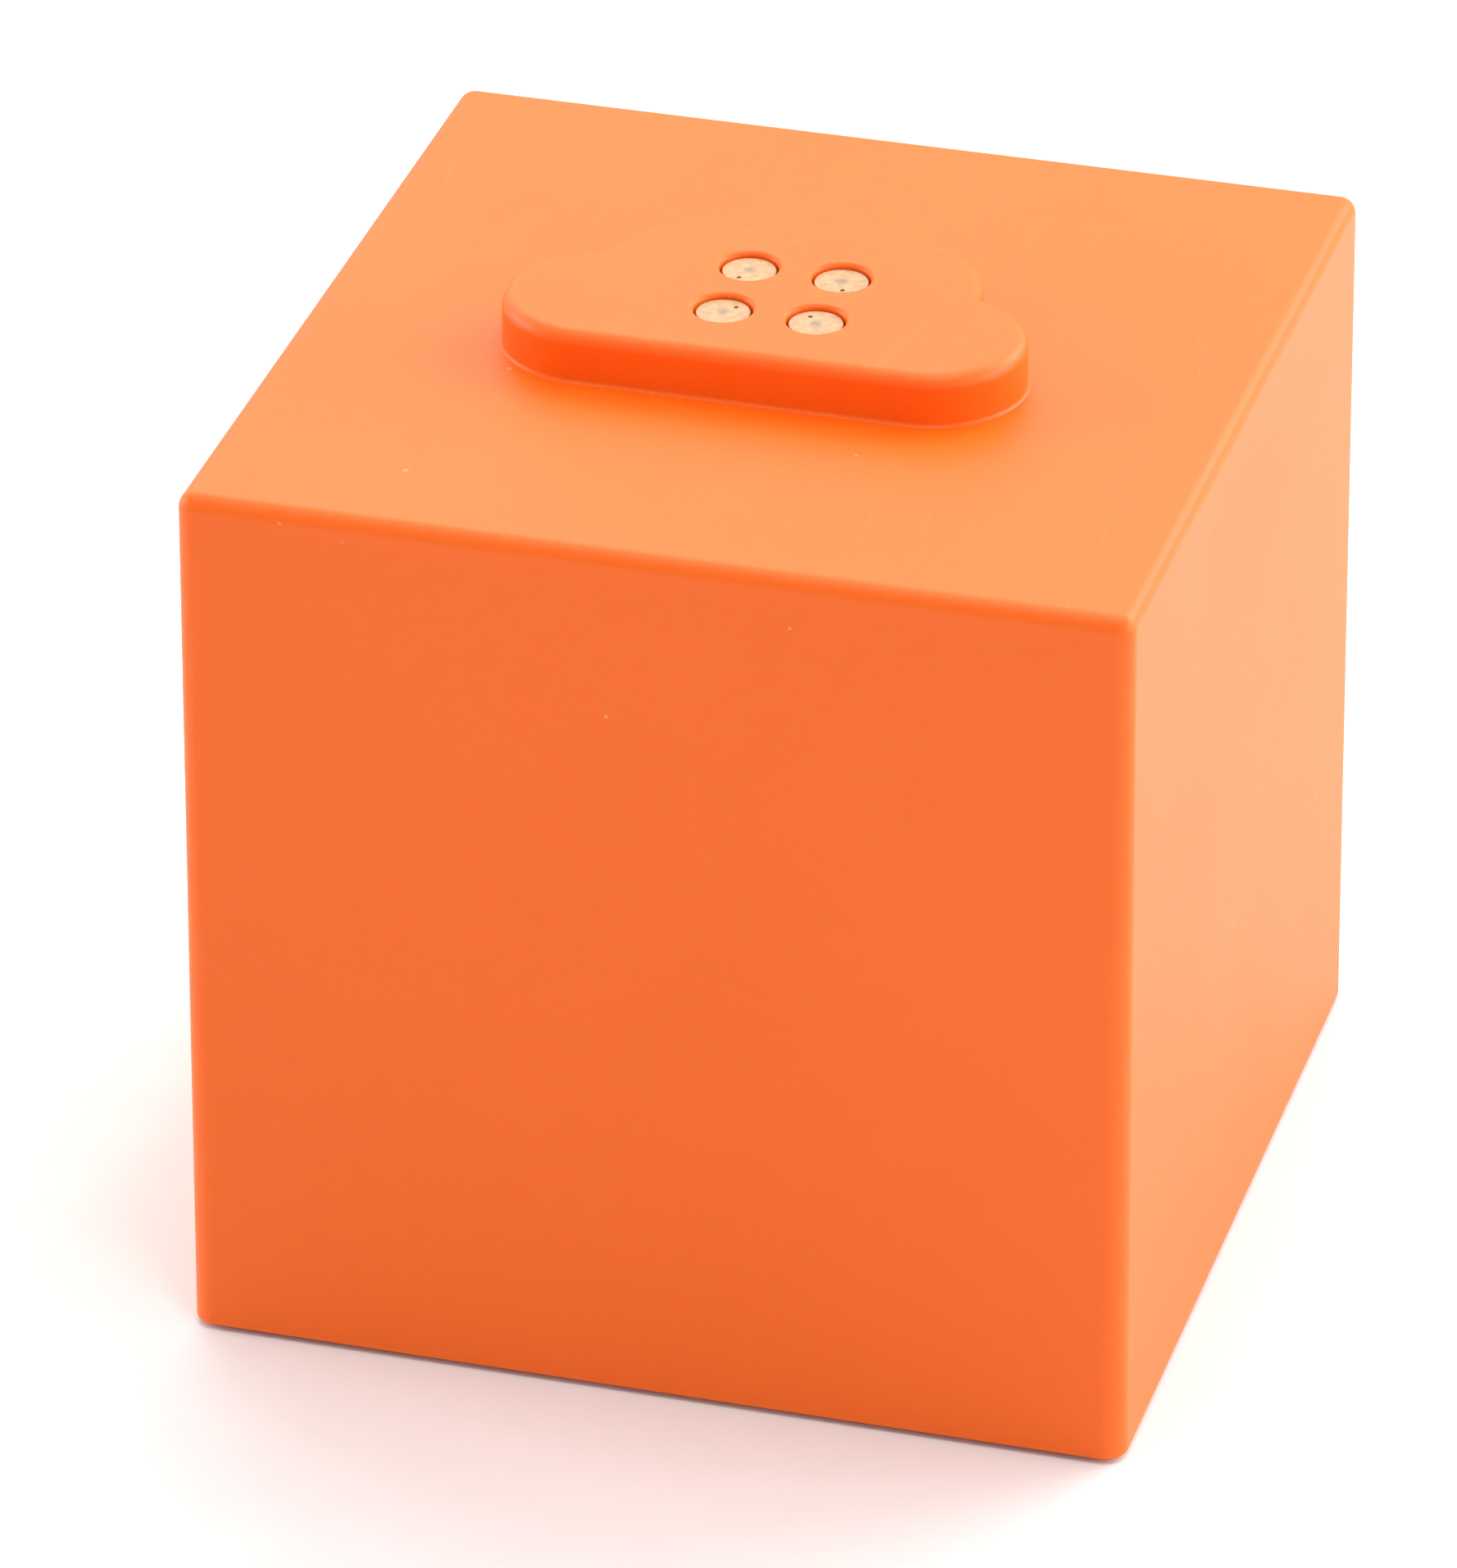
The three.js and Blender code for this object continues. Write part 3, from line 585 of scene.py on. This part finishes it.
def wall(outline, low, high, steps=1, **values):
    lengths = {key: float(value) for key, value in values.items()}
    return walls.make("wall", outline, Low=float(low), High=float(high), Steps=steps,
                      Finish=finishes["shell_orange"], **lengths)


def turned(profile, around=40):
    return lathe.make("turned", lineMesh([(r, 0.0, z) for r, z in profile]), Around=around,
                      Finish=finishes["shell_orange"])


def copied(piece, places, twist=0.0):  # one mesh with a copy of the piece on each place
    spots = shown("places", lineMesh(places))
    mesh = piece.data
    bpy.data.objects.remove(piece)
    result = copies.make("copies", mesh, Places=spots, Twist=twist, Finish=finishes["shell_orange"])
    bpy.data.objects.remove(spots)
    return result


def together(*pieces):  # several closed solids in one mesh
    work = bmesh.new()
    for piece in pieces:
        work.from_mesh(piece.data)
        bpy.data.objects.remove(piece)
    mesh = bpy.data.meshes.new("together")
    work.to_mesh(mesh)
    work.free()
    return shown("together", mesh)


def onAxis(name):  # the middle of a node's box, its foot and its top
    low, high = (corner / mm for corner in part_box(name))
    return (low.x + high.x) / 2, (low.y + high.y) / 2, low.z, high.z


def named(stem, count=4):
    return [f"{stem}_{i + 1}" for i in range(count)]


def block(x, y, z):  # each a (low, high) pair
    points = [(i, j, k) for i in x for j in y for k in z]
    faces = [(0, 1, 3, 2), (4, 6, 7, 5), (0, 4, 5, 1), (2, 3, 7, 6), (0, 2, 6, 4), (1, 5, 7, 3)]
    mesh = bpy.data.meshes.new("block")
    mesh.from_pydata(points, [], faces)
    return plain(shown("block", mesh))


def rods(radius, low, high, places, steps=1, around=24, **rounds):
    solid = wall(circle(radius, around), low, high, steps, **rounds)
    return copied(solid, [(x, y, 0.0) for x, y in places])


def mirroredX(x, y):
    return [(-x, y), (x, y)]


# Housing

housing = {"taper": 0.45, "footCorner": 1.7, "topRound": 1.2, "rim": 0.2, "wall": 2.0, "innerCorner": 1.6,
           "bossRoof": 2.0, "coreNotch": 1.5, "innerRound": 0.8, "coreRound": 0.5, "hole": 2.1, "mouth": 0.38,
           "rounding": 12, "sink": 0.02}
inside = {"gap": 0.3, "screwX": 15.0, "screwY": 27.0, "post": 3.4, "postLow": 4.9, "postHigh": 16.0,
          "postHole": 1.55, "postHoleTop": 13.0, "web": 1.6, "webEnd": 32.4,
          "boardX": 10.0, "boardY": -1.0, "boardPost": 2.5,
          "boardHole": 1.0, "boardHoleTop": 67.8, "upperBoardTop": 64.0, "railIn": 28.4, "railOut": 32.6,
          "rib": 1.2, "railLow": 8.0, "railHigh": 63.0, "stop": 61.6, "boardFront": 12.0, "boardBack": 13.6}


def pairOf(a, b):
    return (min(a, b), max(a, b))


def makeHousing():
    low, top = housingLow.z, faceTop
    side = housingHigh.x - housingLow.x
    draft = housing["taper"] / (top - low)
    outer = wall(roundedSquare(side, housing["footCorner"]), low, top, housing["rounding"],
                 LowRound=-housing["rim"], HighRound=housing["topRound"], Draft=draft)
    raised = wall(cloudOutline(boss["notch"]), top - housing["sink"], bossTop, boss["rounding"],
                  LowRound=boss["footRound"], HighRound=boss["topRound"])  # its lip dips under the top face
    ceiling = top - housing["wall"]
    innerSide = side - 2 * housing["wall"] + 2 * draft
    hollow = wall(roundedSquare(innerSide, housing["innerCorner"], steps=6), low - past, ceiling, steps=4,
                  HighRound=housing["innerRound"], Draft=draft)
    core = wall(cloudOutline(housing["coreNotch"], -housing["wall"]), ceiling - past,
                bossTop - housing["bossRoof"], steps=4, HighRound=housing["coreRound"])
    holes = rods(housing["hole"], ceiling, bossTop + skin, contactSpots, steps=10, around=72,
                 HighRound=-housing["mouth"])
    shell = cutBy(joined(outer, raised), hollow, core, holes)
    screwSpots = [(sx * inside["screwX"], sy * inside["screwY"]) for sx, sy in quadrants]
    boardSpots = mirroredX(inside["boardX"], inside["boardY"])
    roof = bossTop - housing["bossRoof"]
    posts = [rods(inside["post"], inside["postLow"], inside["postHigh"], screwSpots),
             rods(inside["boardPost"], inside["upperBoardTop"] + inside["gap"], roof + overlap, boardSpots)]
    half = inside["web"] / 2
    upright = (inside["postLow"], inside["postHigh"])
    webs = [block((x - half, x + half), pairOf(y, math.copysign(inside["webEnd"], y)), upright)
            for x, y in screwSpots]
    rails = []
    front = inside["boardFront"] - inside["gap"]
    back = inside["boardBack"] + inside["gap"]
    height = (inside["railLow"], inside["railHigh"])
    for hand in (-1, 1):
        span = pairOf(hand * inside["railIn"], hand * inside["railOut"])
        rails += [block(span, (front - inside["rib"], front), height),
                  block(span, (back, back + inside["rib"]), height),
                  block(span, (front - inside["rib"], back + inside["rib"]), (inside["stop"], height[1]))]
    pilots = [rods(inside["postHole"], inside["postLow"] - past, inside["postHoleTop"], screwSpots),
              rods(inside["boardHole"], inside["upperBoardTop"], inside["boardHoleTop"], boardSpots)]
    body = cutBy(joined(shell, *posts, *webs, *rails), *pilots)
    return settle(body, "housing_shell", "root", ["housing"], finishes["shell_orange"])


makeHousing()


# Base: plate, socket, screw towers, and what stands on them

base = {"low": 0.6, "top": 2.8, "corner": 0.8, "edge": 0.3, "clearance": 0.35, "notch": 0.5,
        "ceiling": 4.3, "ceilingRound": 0.35, "leadIn": 0.4, "cupTop": 5.9, "cupWall": 1.6, "cupNotch": 1.5,
        "cupRound": 0.5, "tower": 4.0, "towerTop": 4.6, "postTop": 10.4, "boardHoleDepth": 3.8,
        "restIn": 20.0, "restOut": 24.0, "restTop": 12.0, "seat": 3.0, "counterbore": 2.6, "footAt": 26.0,
        "footHole": 4.8, "footHoleTop": 1.7, "holeRound": 0.2, "pinHole": 1.8}


def makeBase():
    low, under, edge = base["low"], base["low"] - skin, base["edge"]
    screwSpots = [(sx * inside["screwX"], sy * inside["screwY"]) for sx, sy in quadrants]
    footSpots = [(sx * base["footAt"], sy * base["footAt"]) for sx, sy in quadrants]
    boardSpots = mirroredX(inside["boardX"], inside["boardY"])
    plateLow, plateHigh = (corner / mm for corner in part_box("base_plate"))
    plate = wall(roundedSquare(plateHigh.x - plateLow.x, base["corner"], steps=6), low, base["top"], steps=5,
                 LowRound=-edge, HighRound=edge)
    cup = wall(cloudOutline(base["cupNotch"], base["clearance"] + base["cupWall"]), low + edge,
               base["cupTop"], steps=4, HighRound=base["cupRound"])
    towers = rods(base["tower"], low + edge, base["towerTop"], screwSpots, steps=4, around=36, HighRound=edge)
    posts = rods(inside["boardPost"], base["cupTop"] - overlap, base["postTop"], boardSpots, steps=3,
                 around=28, HighRound=base["holeRound"])
    rests = [block(pairOf(hand * base["restIn"], hand * base["restOut"]),
                   (inside["boardFront"], inside["boardBack"]), (base["top"] - overlap, base["restTop"]))
             for hand in (-1, 1)]
    socket = wall(cloudOutline(base["notch"], base["clearance"]), under, base["ceiling"], steps=7,
                  LowRound=base["leadIn"], HighRound=base["ceilingRound"])
    bores = [rods(base["pinHole"], base["ceiling"] - past, base["cupTop"] + past, contactSpots, around=40),
             rods(base["counterbore"], under, base["seat"], screwSpots, steps=4, around=40,
                  LowRound=base["holeRound"]),
             rods(inside["postHole"], low, base["towerTop"] + past, screwSpots),
             rods(base["footHole"], under, base["footHoleTop"], footSpots, steps=4, around=56,
                  LowRound=base["holeRound"]),
             rods(inside["boardHole"], base["postTop"] - base["boardHoleDepth"], base["postTop"] + past,
                  boardSpots)]
    body = cutBy(joined(plate, cup, towers, posts, *rests), socket, *bores)
    return settle(body, "base_moulding", "root", ["base_plate"], finishes["shell_orange"])


makeBase()


# Contact studs: a disc at the top of each hole, the flange under the roof and the tail through the board

stud = {"radius": 1.93, "edge": 0.1, "head": 1.95, "flange": 2.5, "flangeHeight": 0.8, "shaft": 1.2,
        "tail": 0.45, "tailEnd": 0.25, "tailTaper": 0.2, "boardFace": 64.3, "end": 61.6, "vent": 0.17,
        "ventDepth": 0.4, "ventMouth": 0.05, "frontVent": 1.14, "backVent": 1.33, "frontTurn": 36.0,
        "backTurn": 18.0}


def makeStuds():
    r, edge, top = stud["radius"], stud["edge"], discTop
    flangeTop = top - stud["head"]
    profile = [(0, top), (r - edge, top)]
    rim = arcPoints(0, 0, edge, 0, 90, 5)[:-1]
    profile += [(r - edge + p.x, top - edge + p.y) for p, way in reversed(rim)]
    profile += [(r, flangeTop), (stud["flange"], flangeTop),
                (stud["flange"], flangeTop - stud["flangeHeight"]),
                (stud["shaft"], flangeTop - stud["flangeHeight"]), (stud["shaft"], stud["boardFace"]),
                (stud["tail"], stud["boardFace"]), (stud["tail"], stud["end"] + stud["tailTaper"]),
                (stud["tailEnd"], stud["end"]), (0, stud["end"])]
    studs = copied(turned(profile, around=72), [(x, y, 0.0) for x, y in contactSpots])
    vents = []
    for x, y in contactSpots:
        side = math.copysign(1, x)
        inFront = y < 0
        turn = math.radians(90 + side * stud["frontTurn"] if inFront else -90 + side * stud["backTurn"])
        reach = stud["frontVent"] if inFront else stud["backVent"]
        vents.append((x + reach * math.cos(turn), y + reach * math.sin(turn)))
    holes = rods(stud["vent"], top - stud["ventDepth"], top + skin, vents, steps=3, around=16,
                 HighRound=-stud["ventMouth"])
    return settle(cutBy(studs, holes), "contact_studs", "root", named("top_contact"),
                  finishes["contact_gold"])


makeStuds()


# Rubber feet

foot = {"radius": 4.5, "height": 1.4, "edge": 0.4, "dish": 0.12, "dishIn": 1.6, "dishOut": 2.4,
        "upperEdge": 0.15}


def makeFeet():
    r, edge, height, upper = foot["radius"], foot["edge"], foot["height"], foot["upperEdge"]
    names = named("rubber_foot")
    profile = [(0, foot["dish"]), (foot["dishIn"], foot["dish"]), (foot["dishOut"], 0.0)]
    profile += [(r - edge + p.x, edge + p.y) for p, way in arcPoints(0, 0, edge, -90, 0, 6)]
    profile += [(r, height - upper), (r - upper, height), (0, height)]
    spots = [onAxis(name)[:2] + (0.0,) for name in names]
    return settle(copied(turned(profile, around=56), spots), "rubber_feet", "root", names,
                  finishes["foot_rubber"])


makeFeet()


# Screws: pan heads with a cross recess, and a thread wound round the shank

screws = {"recessWidth": 0.28, "recessLength": 1.15, "recessDepth": 0.5, "threadDepth": 0.22, "flat": 0.45,
          "rim": 0.12, "underEdge": 0.05, "point": 0.2}  # shares of the head, the shank or the diameter
baseScrew = {"head": 2.3, "headHeight": 1.6, "shank": 1.25, "length": 8.8, "pitch": 0.9, "twist": 0.8}
boardScrew = {"head": 1.8, "headHeight": 1.3, "shank": 0.7, "length": 5.0, "pitch": 0.5, "twist": 0.5}


def panScrew(head, headHeight, shank, length, pitch, twist):  # the shank points up from z = 0
    crown = arcPoints(0, 0, 1.0, -90, 0, 8)
    flat, rim = screws["flat"], screws["rim"]
    profile = [(0, -headHeight), (head * flat, -headHeight)]
    profile += [(head * (flat + (1 - flat) * p.x), headHeight * ((1 - rim) * p.y - rim))
                for p, way in crown[1:]]
    core = shank * (1 - screws["threadDepth"])
    profile += [(head, -screws["underEdge"]), (head - screws["underEdge"], 0), (core, 0),
                (core, length - shank), (shank * screws["point"], length), (0, length)]
    body = turned(profile)
    long = head * screws["recessLength"] / 2
    wide = head * screws["recessWidth"] / 2
    depth = (-headHeight - past, -headHeight * (1 - screws["recessDepth"]))
    cross = [block((-long, long), (-wide, wide), depth), block((-wide, wide), (-long, long), depth)]
    body = cutBy(body, *cross)
    wire = (shank - core) / 2
    turns = (length - shank - 2 * pitch) / pitch
    thread = coils.make("thread", lineMesh([]), Radius=shank - wire, Wire=wire, Turns=turns,
                        Height=turns * pitch, Finish=finishes["screw_zinc"])
    return together(body, moved(thread, z=pitch))


def makeScrews():
    rows = [("base_screw", 4, baseScrew, True), ("top_board_screw", 2, boardScrew, True),
            ("bottom_board_screw", 2, boardScrew, False)]
    for stem, count, sizes, pointsUp in rows:
        names = named(stem, count)
        places = []
        for name in names:
            x, y, low, high = onAxis(name)
            places.append((x, y, low + sizes["headHeight"] if pointsUp else high - sizes["headHeight"]))
        screw = panScrew(**sizes)
        if not pointsUp:
            screw.data.transform(Matrix.Rotation(math.pi, 4, "X"))
        piece = copied(screw, places, sizes["twist"])
        settle(piece, stem + "s", "root", names, finishes["screw_zinc"])


makeScrews()


# Spring pins: barrel, plunger and coil

pin = {"barrel": 1.5, "bore": 1.15, "lip": 0.95, "lipHeight": 0.5, "lipSlope": 0.1, "endWall": 0.8,
       "tail": 0.45, "tip": 0.65, "collar": 0.85, "collarHeight": 1.0, "collarLow": 0.05, "collarTop": 0.1,
       "coil": 0.72, "wire": 0.12, "turns": 4.3, "edge": 0.12, "travel": 1.4}


def makeBarrels():
    low, high = onAxis("spring_pin_barrel_1")[2:]
    top, edge = base["postTop"], pin["edge"]
    boreTop, lipTop = top - pin["endWall"], low + pin["lipHeight"]
    profile = [(0, boreTop), (pin["bore"], boreTop), (pin["bore"], lipTop),
               (pin["lip"], lipTop - pin["lipSlope"]), (pin["lip"], low + edge), (pin["lip"] + edge, low),
               (pin["barrel"] - edge, low), (pin["barrel"], low + edge), (pin["barrel"], top - edge),
               (pin["barrel"] - edge, top), (pin["tail"], top), (pin["tail"], high - edge),
               (pin["tail"] - edge, high), (0, high)]
    spots = [(x, y, 0.0) for x, y in contactSpots]
    settle(copied(turned(profile, around=48), spots), "pin_barrels", "root",
           named("spring_pin_barrel"), finishes["pin_gold"])


def makePlunger(i, x, y):
    low, high = onAxis(f"spring_pin_plunger_{i}")[2:]
    r, wide, collar = pin["tip"], pin["collar"], high - pin["collarHeight"]
    profile = [(p.x, low + r + p.y) for p, way in arcPoints(0, 0, r, -90, 0, 10)]
    profile[0] = (0, low)
    profile += [(r, collar), (wide - pin["collarLow"], collar), (wide, collar + pin["collarLow"]),
                (wide, high - pin["collarTop"]), (wide - pin["collarTop"], high), (0, high)]
    settle(moved(turned(profile), x, y), f"pin_plunger_{i}", f"plunger_{i}",
           [f"spring_pin_plunger_{i}"], finishes["pin_gold"])


def makeCoil(i, x, y):  # a coil spring as tall as the CAD spring, fixed to the root body
    low, high = onAxis(f"spring_pin_spring_{i}")[2:]
    coil = coils.make("coil", lineMesh([]), Radius=pin["coil"], Wire=pin["wire"], Turns=pin["turns"],
                      Height=high - low, Finish=finishes["spring_steel"])
    piece = settle(moved(coil, x, y, low), f"pin_coil_{i}", "root",
                   [f"spring_pin_spring_{i}"], finishes["spring_steel"], sharp=60.0)
    x * mm
    y * mm
    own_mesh(piece)


def makePins():
    makeBarrels()
    for i, (x, y) in enumerate(contactSpots, 1):
        makePlunger(i, x, y)
        makeCoil(i, x, y)


makePins()


# Electronics keep their CAD shapes and get their finishes

def finishElectronics():
    replaced = {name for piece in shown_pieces() for name in piece.get("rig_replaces", [])}
    for row in frame["record"]["subparts"]:
        if row["node"] not in replaced:
            node = frame["nodes"][row["node"]]
            node.data.materials.clear()
            node.data.materials.append(finishes[row["material_slot"]])


finishElectronics()


# Studio

studio = {"floorHalf": 3.0, "windowHalf": 0.031, "world": 0.5, "aim": (0.0, 0.0, 0.035)}
softboxes = {  # place and size in metres, power in watts
    "top_box": {"place": (0.0, 0.0, 1.0), "size": (0.7, 0.7), "power": 1.7},
    "front_top_box": {"place": (0.0, -0.35, 0.95), "size": (0.7, 0.5), "power": 0.7},
    "back_top_box": {"place": (0.0, 0.45, 0.85), "size": (0.7, 0.5), "power": 2.2},
    "back_box": {"place": (0.0, 0.85, 0.6), "size": (0.8, 0.5), "power": 1.8},
    "back_wall": {"place": (0.0, 1.3, 0.25), "size": (1.6, 0.45), "power": 0.7},
    "back_left_box": {"place": (-0.6, 0.65, 0.55), "size": (0.6, 0.5), "power": 2.5},
    "back_right_box": {"place": (0.6, 0.65, 0.55), "size": (0.6, 0.5), "power": 6.4},
    "left_box": {"place": (-0.95, 0.0, 0.35), "size": (0.6, 0.5), "power": 5.0},
    "right_box": {"place": (0.95, 0.1, 0.35), "size": (0.6, 0.5), "power": 5.0},
    "front_right_box": {"place": (0.75, -0.7, 0.4), "size": (0.6, 0.5), "power": 0.9},
    "glint_box": {"place": (0.11, -0.16, 0.88), "size": (0.08, 0.05), "power": 0.8},
}
camera = {"azimuth": 15.915, "elevation": 29.397, "roll": -0.122, "distance": 763.8, "sensor": 36.0,
          "focalToLongSide": 6.8136, "bodyMiddle": 33.5, "aimRight": -3.834, "aimDown": 2.19}


def makeCamera():
    azimuth, elevation = math.radians(camera["azimuth"]), math.radians(camera["elevation"])
    flat = math.cos(elevation)
    back = Vector((math.sin(azimuth) * flat, -math.cos(azimuth) * flat, math.sin(elevation)))
    level = (-back).to_track_quat("-Z", "Y").to_matrix()
    turn = level @ Matrix.Rotation(math.radians(camera["roll"]), 3, "Z")
    right, up = turn.col[0], turn.col[1]
    aim = Vector((0, 0, camera["bodyMiddle"])) + right * camera["aimRight"] - up * camera["aimDown"]
    data = bpy.data.cameras.new("camera")
    data.sensor_width = camera["sensor"]
    data.lens = data.sensor_width * camera["focalToLongSide"]
    data.clip_start = 0.01
    data.clip_end = 20.0
    made = bpy.data.objects.new("camera", data)
    bpy.context.scene.collection.objects.link(made)
    made.matrix_world = Matrix.Translation((aim + back * camera["distance"]) * mm) @ turn.to_4x4()
    bpy.context.scene.camera = made


def softbox(name, place, size, power):
    data = bpy.data.lights.new(name, "AREA")
    data.shape = "RECTANGLE"
    data.size, data.size_y = size
    data.energy = power
    made = bpy.data.objects.new(name, data)
    bpy.context.scene.collection.objects.link(made)
    way = Vector(studio["aim"]) - Vector(place)
    made.matrix_world = Matrix.Translation(place) @ way.to_track_quat("-Z", "Y").to_matrix().to_4x4()


def makeFloor():  # one-sided, with a window under the object, so that the underside shows from below
    points = [(sx * half, sy * half, 0) for half in (studio["floorHalf"], studio["windowHalf"])
              for sx, sy in quadrants]
    mesh = bpy.data.meshes.new("floor")
    mesh.from_pydata(points, [], [(i, (i + 1) % 4, (i + 1) % 4 + 4, i + 4) for i in range(4)])
    paper = Finish("pale_floor", Roughness=0.8)
    fibre = paper.noise(4, 3)
    paper.feed(Base_Color=paper.blend(fibre, (0.8, 0.8, 0.8), (0.84, 0.84, 0.84)))
    paper.oneSided()
    mesh.materials.append(paper.material)
    shown("floor", mesh)


def makeWorld():
    world = bpy.data.worlds.new("studio")
    world.use_nodes = True
    background = world.node_tree.nodes["Background"]
    background.inputs["Color"].default_value = (1.0, 1.0, 1.0, 1.0)
    background.inputs["Strength"].default_value = studio["world"]
    bpy.context.scene.world = world
    bpy.context.scene.view_settings.view_transform = "Standard"


makeCamera()
makeFloor()
makeWorld()
for name, box in softboxes.items():
    softbox(name, **box)
print("studio", len(softboxes), "softboxes")
